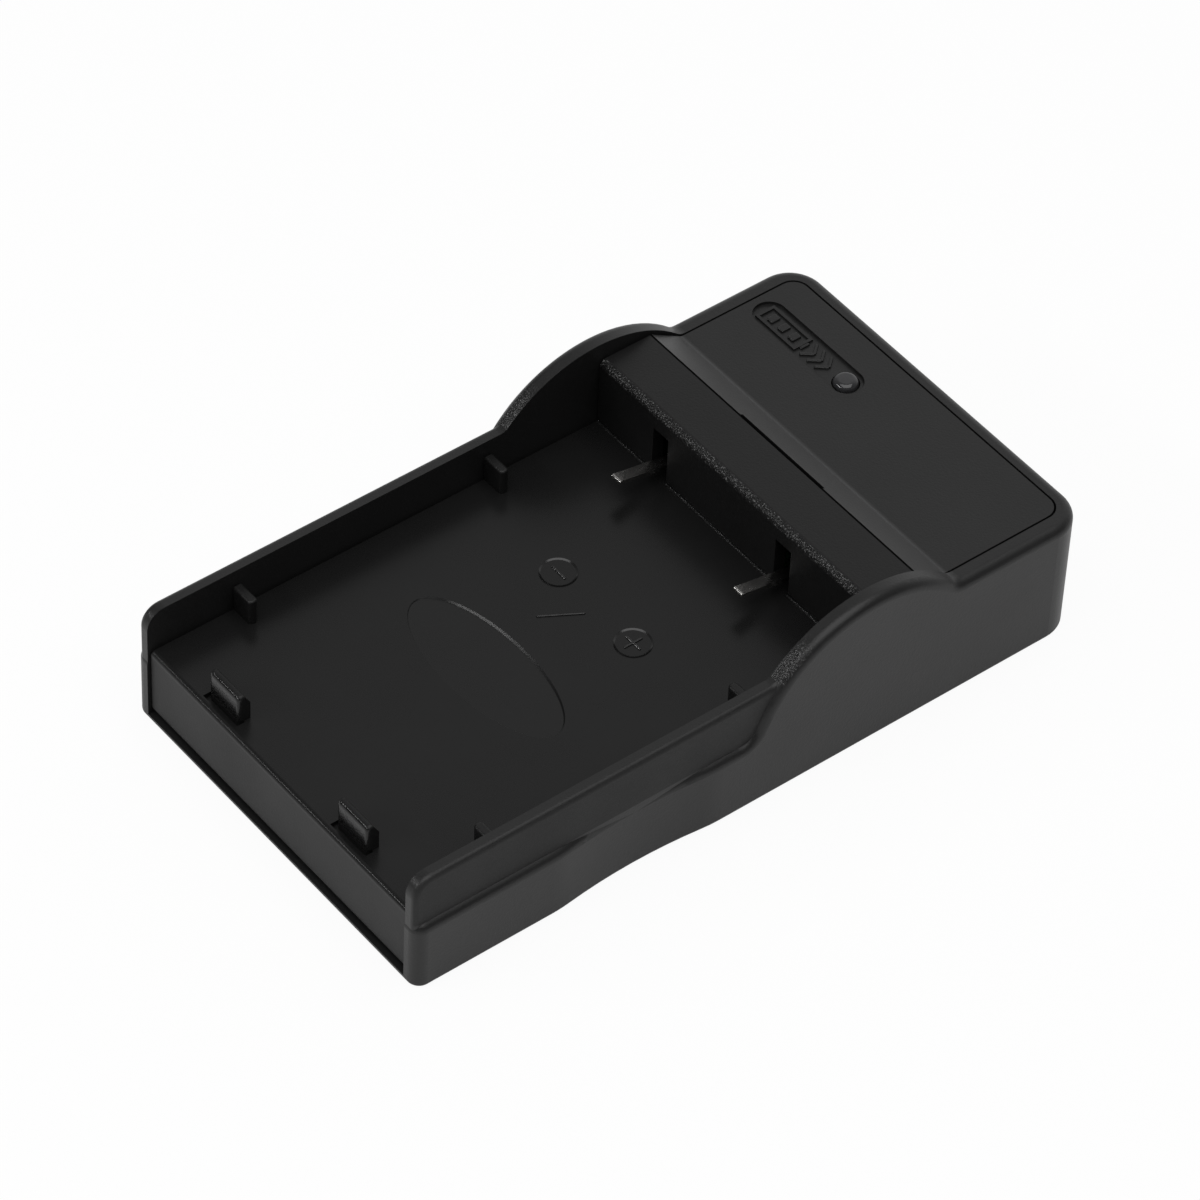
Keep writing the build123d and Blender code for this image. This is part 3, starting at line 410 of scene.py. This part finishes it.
# %% [markdown]
# ## Drawn metal
#
# Strip metal is rolled or drawn, which leaves long fine streaks. An anisotropic shader would
# only smear the highlights, so noise that is stretched along one axis draws the streaks
# themselves. The same group serves the plated blades, the screws, the inlet's shell and the
# small leads, each with its own direction, colour and gloss.

# %% Drawn metal group
STREAK_ROUGHNESS = 0.6
TARNISH_SCALE = 700.0
STREAK_TONE = 0.6
TARNISH_TONE = 0.4

drawn_metal, entry = new_finish_group("drawn_metal", ("Place", "Vector"), ("Stretch", "Vector"))
stretched = add_node(drawn_metal, "ShaderNodeVectorMath", {"operation": "MULTIPLY"})
feed(drawn_metal, stretched.inputs[0], entry["Place"])
feed(drawn_metal, stretched.inputs[1], entry["Stretch"])
streaks = noise(
    drawn_metal, stretched.outputs["Vector"], scale=1.0, detail=4.0, roughness=STREAK_ROUGHNESS
)
tarnish = noise(drawn_metal, entry["Place"], TARNISH_SCALE, detail=2.0)
metal_tone = weigh(drawn_metal, streaks, STREAK_TONE, tarnish, TARNISH_TONE)
end_finish_group(drawn_metal, entry, metal_tone, streaks)

# %% Metals
STREAK_DEPTH = 0.004 * MM


def bare_metal(name, streak, length, along, tones, roughness):
    """A drawn or plated metal; streak is its streaks' width, length their length along an axis."""
    material, tree, shader, place = new_material(name)
    shader.inputs["Metallic"].default_value = 1.0
    stretch = [1 / streak] * 3
    stretch["XYZ".index(along)] = 1 / length
    finish = use_finish_group(tree, drawn_metal, place, tones, roughness, Stretch=stretch)
    feed(tree, shader.inputs["Base Color"], finish["Colour"])
    feed(tree, shader.inputs["Roughness"], finish["Roughness"])
    bump_from(tree, shader, finish["Height"], STREAK_DEPTH)
    return material


nickel = bare_metal(
    "nickel_plate", streak=0.08 * MM, length=3 * MM, along="Y",
    tones=((0.36, 0.35, 0.34), (0.58, 0.57, 0.55)), roughness=(0.16, 0.30),
)
steel = bare_metal(
    "screw_steel", streak=0.10 * MM, length=0.4 * MM, along="Z",
    tones=((0.20, 0.20, 0.21), (0.38, 0.38, 0.39)), roughness=(0.26, 0.42),
)
tin = bare_metal(
    "tin_plate", streak=0.07 * MM, length=1.5 * MM, along="Y",
    tones=((0.50, 0.50, 0.50), (0.74, 0.74, 0.73)), roughness=(0.24, 0.40),
)
gold = bare_metal(
    "gold_flash", streak=0.05 * MM, length=1.5 * MM, along="Y",
    tones=((0.70, 0.50, 0.20), (0.90, 0.70, 0.34)), roughness=(0.16, 0.30),
)
aluminium = bare_metal(
    "drawn_can", streak=0.05 * MM, length=2.0 * MM, along="Z",
    tones=((0.62, 0.63, 0.65), (0.80, 0.81, 0.83)), roughness=(0.22, 0.36),
)
finishes.update({
    "negative_contact": nickel,
    "positive_contact": nickel,
    "base_screws": steel,
    "board_screws": steel,
    "usb_shell": tin,
    "controller_leads": tin,
    "usb_pins": gold,
    "capacitor_can": aluminium,
})
print("metals:", [m.name for m in (nickel, steel, tin, gold, aluminium)])

# %% [markdown]
# ## Lamp window
#
# The window over the lamp is a smoky, polished plug of plastic. Glass-like transmission would
# show the dark shaft below it, so a dark and very smooth surface reads the same and renders
# cleaner. A little waviness breaks up its reflections.

# %% Lamp window
WAVE_SCALE = 900.0
WAVE_DEPTH = 0.01 * MM
SMOKE_TONES = ((0.016, 0.016, 0.017), (0.034, 0.034, 0.036))

smoke, tree, shader, place = new_material("smoky_window")
waves = noise(tree, place, WAVE_SCALE, detail=1.0)
feed(tree, shader.inputs["Base Color"], blend_colours(tree, waves, *SMOKE_TONES))
shader.inputs["Roughness"].default_value = 0.08
bump_from(tree, shader, waves, WAVE_DEPTH, strength=0.4)
finishes["led_lens"] = smoke
print("window:", smoke.name)

# %% [markdown]
# ## Board and components
#
# These pieces sit inside the closed case. They still get finishes of their own, so that the
# charger can be taken apart in a picture: a green board with a weave and faint tracks, grey
# ferrite, tan ceramic, black glaze and a pale lamp body. Tracks could be modelled, but the
# edges of a cell pattern give such a net of lines with one node.

# %% Board
WEAVE_SCALE = 2500.0
TRACK_SCALE = 260.0
TRACK_EDGE = (0.03, 0.05)
TRACK_DEPTH = 0.02 * MM
TRACK_TONE = (0.010, 0.050, 0.020)
LACQUER_TONES = ((0.004, 0.022, 0.010), (0.006, 0.034, 0.015))

board, tree, shader, place = new_material("green_board")
weave = noise(tree, place, WEAVE_SCALE, detail=2.0)
cells = add_node(
    tree, "ShaderNodeTexVoronoi", {"feature": "DISTANCE_TO_EDGE"}, Vector=place, Scale=TRACK_SCALE
)
off_track = spread(tree, cells.outputs["Distance"], *TRACK_EDGE)
lacquer = blend_colours(tree, weave, *LACQUER_TONES)
feed(tree, shader.inputs["Base Color"], blend_colours(tree, off_track, TRACK_TONE, lacquer))
shader.inputs["Roughness"].default_value = 0.32
bump_from(tree, shader, off_track, TRACK_DEPTH, strength=0.5)
finishes["circuit_board"] = board
print("board:", board.name)

# %% Ceramics and lamp body
SPECKLE_SCALE = 6000.0
SPECKLE_DEPTH = 0.01 * MM


def sintered(name, dark, light, roughness):
    """A sintered or cast body with fine speckle in colour and height."""
    material, tree, shader, place = new_material(name)
    speckle = noise(tree, place, SPECKLE_SCALE, detail=3.0)
    feed(tree, shader.inputs["Base Color"], blend_colours(tree, speckle, dark, light))
    shader.inputs["Roughness"].default_value = roughness
    bump_from(tree, shader, speckle, SPECKLE_DEPTH, strength=0.5)
    return material


finishes.update({
    "power_inductor": sintered("grey_ferrite", (0.05, 0.05, 0.052), (0.11, 0.11, 0.115), 0.6),
    "ceramic_capacitors": sintered("tan_ceramic", (0.34, 0.23, 0.13), (0.52, 0.38, 0.24), 0.42),
    "chip_resistors": sintered("glazed_black", (0.012, 0.012, 0.014), (0.03, 0.03, 0.034), 0.3),
    "status_led": sintered("white_lamp_body", (0.66, 0.65, 0.60), (0.82, 0.81, 0.76), 0.35),
})
for name, node in nodes.items():
    node.data.materials.clear()
    node.data.materials.append(finishes[name])
print("finished nodes:", len(finishes), "of", len(nodes))

# %% [markdown]
# ## Raised marks in the tray
#
# Two round marks with a minus and a plus tell which way round the battery goes, and a short
# ridge lies before them. They stand less than a fifth of a millimetre above the floor, so
# they are modelled here and not as solids. A round mark is a shallow dish: a flat cone whose
# top face is inset and pressed in, so that its far slope catches the lamp above. A bar is a
# cube whose upper and upright edges are bevelled. The cutter that engraved these marks in
# the mould left them smoother than the floor, so they have a finish of their own.

# %% Helpers for marks
MERGE_DISTANCE = 0.001 * MM
BAR_EDGE = 0.11 * MM
DISH_SINK = 0.02 * MM
DISH_SEGMENTS = 96


def piece_from(form, name, material):
    """Turns a bmesh into a piece of the charger that rides on its only body."""
    bmesh.ops.remove_doubles(form, verts=form.verts, dist=MERGE_DISTANCE)
    bmesh.ops.recalc_face_normals(form, faces=form.faces)
    mesh = bpy.data.meshes.new(name)
    form.to_mesh(mesh)
    form.free()
    mesh.materials.append(material)
    piece = bpy.data.objects.new(name, mesh)
    bpy.context.scene.collection.objects.link(piece)
    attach(piece, "root")
    print(name, "faces:", len(mesh.polygons))


def add_bar(form, centre, length, width, rise, turn=0.0):
    """A raised bar along X, turned about Z, with soft upper and upright edges and a sunk foot."""
    bar = bmesh.ops.create_cube(form, size=1.0)["verts"]
    bmesh.ops.scale(form, vec=(length, width, 2 * rise), verts=bar)
    bmesh.ops.rotate(form, cent=(0, 0, 0), matrix=Matrix.Rotation(turn, 3, "Z"), verts=bar)
    bmesh.ops.translate(form, vec=centre, verts=bar)
    edges = {e for v in bar for e in v.link_edges}
    raised = [e for e in edges if any(v.co.z > centre.z for v in e.verts)]
    bmesh.ops.bevel(
        form, geom=raised, offset=BAR_EDGE, offset_type="OFFSET", affect="EDGES", segments=3, profile=0.5,
        material=-1,
    )


def add_dish(form, centre, radius, slope, rise, draft):
    """A shallow round dish: a flat cone whose top is pressed in to just below the floor."""
    cone = bmesh.ops.create_cone(
        form, cap_ends=True, segments=DISH_SEGMENTS, radius1=radius + draft, radius2=radius,
        depth=rise + DISH_SINK,
    )["verts"]
    bmesh.ops.translate(form, vec=centre + Vector((0, 0, (rise - DISH_SINK) / 2)), verts=cone)
    top = max({f for v in cone for f in v.link_faces}, key=lambda f: f.calc_center_median().z)
    bmesh.ops.inset_region(
        form, faces=[top], thickness=slope, depth=-rise - DISH_SINK, use_boundary=True,
        use_even_offset=True,
    )


print("mark helpers ready")

# %% Polarity marks and ridge
bay = next(m for m in frame["record"]["mounts"] if m["name"] == "battery_bay")
FLOOR_TOP = bay["pos_m"][2]
MARK_X = 6.85 * MM
MARK_Y = -2.75 * MM
MARK_RADIUS = 2.25 * MM
MARK_SLOPE = 0.26 * MM
MARK_DRAFT = 0.03 * MM
DISH_RISE = 0.11 * MM
MARK_LINE = 0.3 * MM
MARK_RISE = 0.15 * MM
SIGN_LENGTH = 2.6 * MM
RIDGE_LENGTH = 5.6 * MM
RIDGE_PLACE = Vector((-1.4 * MM, -6.65 * MM, FLOOR_TOP))
RIDGE_TURN = math.radians(59)

engraved = black_plastic(
    "mark_black", GRAIN, depth=0.004 * MM, tones=(0.005, 0.009), roughness=(0.16, 0.24), gloss=0.5
)
for name, side, turns in (("minus_mark", -1, (0.0,)), ("plus_mark", 1, (0.0, math.pi / 2))):
    centre = Vector((side * MARK_X, MARK_Y, FLOOR_TOP))
    form = bmesh.new()
    add_dish(form, centre, MARK_RADIUS, MARK_SLOPE, DISH_RISE, MARK_DRAFT)
    for turn in turns:
        add_bar(form, centre, SIGN_LENGTH, MARK_LINE, MARK_RISE, turn)
    piece_from(form, name, engraved)
form = bmesh.new()
add_bar(form, RIDGE_PLACE, RIDGE_LENGTH, MARK_LINE, MARK_RISE, RIDGE_TURN)
piece_from(form, "floor_ridge", engraved)

# %% [markdown]
# ## Raised marks beside the lamp
#
# The long recess next to the lamp carries a raised legend. A plain battery outline with level
# bars, followed by arrow heads that point to the lamp, says what the lamp shows. Four bars
# could frame the battery, but an inset makes an outline of even width in one step, and
# extruding lifts it.

# %% Level symbol
lens_low, lens_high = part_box("led_lens")
LENS_PROUD = 0.75 * MM
LEGEND_RISE = 0.25 * MM
LEGEND_FLOOR = lens_high.z - LENS_PROUD
LEGEND_Y = (lens_low.y + lens_high.y) / 2
SYMBOL_X = -18.1 * MM
SYMBOL_LENGTH = 7.2 * MM
SYMBOL_WIDTH = 2.9 * MM
SYMBOL_LINE = 0.4 * MM
NUB_WIDTH = 1.3 * MM
BAR_PITCH = 1.9 * MM
BAR_WIDTH = 1.0 * MM
BAR_LENGTH = 1.35 * MM

symbol_centre = Vector((SYMBOL_X, LEGEND_Y, LEGEND_FLOOR))
form = bmesh.new()
bmesh.ops.create_grid(form, x_segments=1, y_segments=1, size=0.5)
bmesh.ops.scale(form, vec=(SYMBOL_LENGTH, SYMBOL_WIDTH, 1), verts=form.verts)
inner = list(form.faces)
bmesh.ops.inset_region(form, faces=inner, thickness=SYMBOL_LINE, use_boundary=True, use_even_offset=True)
bmesh.ops.delete(form, geom=inner, context="FACES")
lifted = bmesh.ops.extrude_face_region(form, geom=list(form.faces))["geom"]
bmesh.ops.translate(
    form, vec=(0, 0, LEGEND_RISE), verts=[v for v in lifted if isinstance(v, bmesh.types.BMVert)]
)
bmesh.ops.translate(form, vec=symbol_centre, verts=form.verts)
nub = symbol_centre + Vector(((SYMBOL_LENGTH + SYMBOL_LINE) / 2, 0, 0))
add_bar(form, nub, SYMBOL_LINE, NUB_WIDTH, LEGEND_RISE)
for step in (-1, 0, 1):
    add_bar(form, symbol_centre + Vector((step * BAR_PITCH, 0, 0)), BAR_WIDTH, BAR_LENGTH, LEGEND_RISE)
piece_from(form, "level_symbol", finishes["rear_cover"])

# %% Arrow heads
ARROW_X = -11.2 * MM
ARROW_PITCH = 1.35 * MM
ARROW_ARM = 1.75 * MM
ARROW_TURN = math.radians(50)

form = bmesh.new()
for step in (-1, 0, 1):
    tip = Vector((ARROW_X + step * ARROW_PITCH, LEGEND_Y, LEGEND_FLOOR))
    for side in (-1, 1):
        reach = Vector((-math.cos(ARROW_TURN), side * math.sin(ARROW_TURN), 0)) * ARROW_ARM / 2
        add_bar(form, tip + reach, ARROW_ARM, SYMBOL_LINE, LEGEND_RISE, -side * ARROW_TURN)
piece_from(form, "arrow_marks", finishes["rear_cover"])

# %% [markdown]
# ## Studio
#
# Black plastic shows mostly what it mirrors. The upright faces look down into a white floor
# and come out lighter, the tops look at the far half of the room, and edges that face the
# camera look at the dark room behind it. So the floor is white and the room is bright only
# low at the far left. A large soft lamp hangs above, and a narrow strip lamp before the open
# end lights the small edges that tip towards it.

# %% Floor
FLOOR_HALF = 1.5
FLOOR_GAP = 0.01 * MM

form = bmesh.new()
bmesh.ops.create_grid(form, x_segments=1, y_segments=1, size=FLOOR_HALF)
bmesh.ops.translate(form, vec=(0, 0, cad_low.z - FLOOR_GAP), verts=form.verts)
floor_mesh = bpy.data.meshes.new("studio_floor")
form.to_mesh(floor_mesh)
form.free()
floor = bpy.data.objects.new("studio_floor", floor_mesh)
bpy.context.scene.collection.objects.link(floor)
print("floor side in m:", 2 * FLOOR_HALF)

# %% Floor paper
# The paper is whitened where the camera sees it, and less where the charger mirrors it.
FLOOR_WHITE = 0.88
WHITENING = 0.93
MIRRORED_WHITENING = 0.3

paper = bpy.data.materials.new("white_paper")
paper.use_nodes = True
tree = paper.node_tree
tree.nodes.clear()
surface = add_node(tree, "ShaderNodeBsdfDiffuse", Color=colour(FLOOR_WHITE))
glow = add_node(tree, "ShaderNodeEmission", Color=colour(1.0), Strength=1.0)
rays = tree.nodes.new("ShaderNodeLightPath").outputs
seen = calculate(tree, "MAXIMUM", rays["Is Camera Ray"], rays["Is Transmission Ray"])
whiteness = calculate(
    tree, "MAXIMUM", calculate(tree, "MULTIPLY", seen, WHITENING),
    calculate(tree, "MULTIPLY", rays["Is Glossy Ray"], MIRRORED_WHITENING),
)
blend = add_node(tree, "ShaderNodeMixShader", Fac=whiteness)
feed(tree, blend.inputs[1], surface.outputs["BSDF"])
feed(tree, blend.inputs[2], glow.outputs["Emission"])
add_node(tree, "ShaderNodeOutputMaterial", Surface=blend.outputs["Shader"])
floor_mesh.materials.append(paper)
print("paper:", paper.name)

# %% Room
BRIGHT_SIDE = Vector((-0.50, 0.80, 0.10)).normalized()
ROOM_TONES = ((0.0, 0.12), (0.60, 0.12), (0.75, 0.26), (0.87, 0.60), (0.95, 0.85), (1.0, 1.0))

room = bpy.data.worlds.new("studio_room")
room.use_nodes = True
bpy.context.scene.world = room
tree = room.node_tree
facing = add_node(tree, "ShaderNodeVectorMath", {"operation": "DOT_PRODUCT"})
feed(tree, facing.inputs[0], tree.nodes.new("ShaderNodeTexCoord").outputs["Generated"])
feed(tree, facing.inputs[1], BRIGHT_SIDE)
ramp = add_node(tree, "ShaderNodeValToRGB", Fac=spread(tree, facing.outputs["Value"], -1.0, 1.0))
stops = ramp.color_ramp.elements
while len(stops) < len(ROOM_TONES):
    stops.new(position=0.5)
for stop, (at, grey) in zip(stops, ROOM_TONES):
    stop.position = at
    stop.color = colour(grey)
feed(tree, tree.nodes["Background"].inputs["Color"], ramp.outputs["Color"])
print("room tones:", ROOM_TONES)

# %% Lamps
TOP_PLACE = Vector((0.30, -0.12, 1.2))
TOP_SIZE = (1.4, 1.4)
TOP_POWER = 13.0
EDGE_PLACE = Vector((-0.22, -0.76, 0.50))
EDGE_SIZE = (0.7, 0.03)
EDGE_POWER = 2.4


def softbox(name, place, aim, size, power):
    """A rectangular area lamp at a place, turned to a point."""
    lamp = bpy.data.lights.new(name, "AREA")
    lamp.shape = "RECTANGLE"
    lamp.size, lamp.size_y = size
    lamp.energy = power
    holder = bpy.data.objects.new(name, lamp)
    holder.location = place
    holder.rotation_euler = (aim - place).to_track_quat("-Z", "Y").to_euler()
    bpy.context.scene.collection.objects.link(holder)
    print(name, "power in W:", power)


middle = (cad_low + cad_high) / 2
softbox("top_lamp", TOP_PLACE, middle, TOP_SIZE, TOP_POWER)
softbox("edge_lamp", EDGE_PLACE, middle, EDGE_SIZE, EDGE_POWER)
